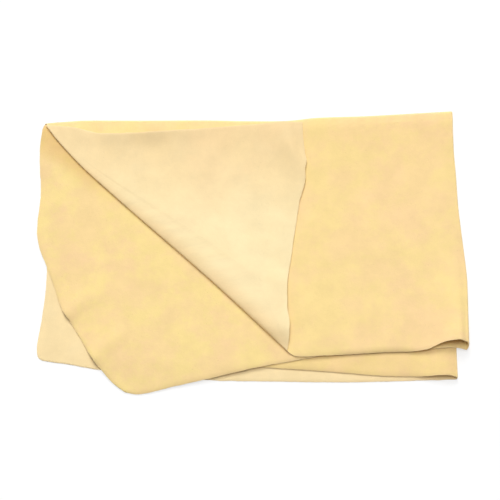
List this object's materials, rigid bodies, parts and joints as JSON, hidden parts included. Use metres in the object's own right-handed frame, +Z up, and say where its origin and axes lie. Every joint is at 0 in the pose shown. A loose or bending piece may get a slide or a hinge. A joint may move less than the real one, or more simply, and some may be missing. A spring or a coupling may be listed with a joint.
{
  "type": "folded chamois leather",
  "caption": "Natural chamois leather for drying and polishing, folded in quarters with one corner turned back over the top layer.",
  "frame": {"origin": "centre of the folded outline, on the surface it lies on", "axes": "+X to the crease that the paired layers share, +Y to the fold along the top, +Z up out of the table"},
  "size_m": [0.3846, 0.273, 0.0153],
  "materials": {
    "suede_side": "napped, matt, mottled golden buff",
    "inner_side": "fine napped, matt, pale buff"
  },
  "bodies": {
    "back": {"back_outer_panel": "inner_side", "back_inner_panel": "suede_side", "right_crease_back": "suede_side", "top_crease_outer": "suede_side", "top_crease_inner": "suede_side", "top_right_turn": "suede_side"},
    "front": {"front_inner_panel": "suede_side", "front_outer_panel": "suede_side", "right_crease_front": "suede_side", "turned_corner_crease": "suede_side"},
    "corner": {"turned_corner": "inner_side"}
  },
  "joints": [
    {"name": "top_fold", "type": "hinge", "parent": "back", "child": "front", "pos_m": [-0.00079, 0.1304, 0.0045], "axis": [-0.9995, -0.0329, 0], "range_deg": [0, 178], "deforming": ["top_crease_outer", "top_crease_inner", "top_right_turn"]},
    {"name": "corner_fold", "type": "hinge", "parent": "front", "child": "corner", "pos_m": [-0.07784, 0.01025, 0.007], "axis": [0.7132, -0.7009, 0], "range_deg": [0, 178], "deforming": ["turned_corner_crease"]}
  ]
}
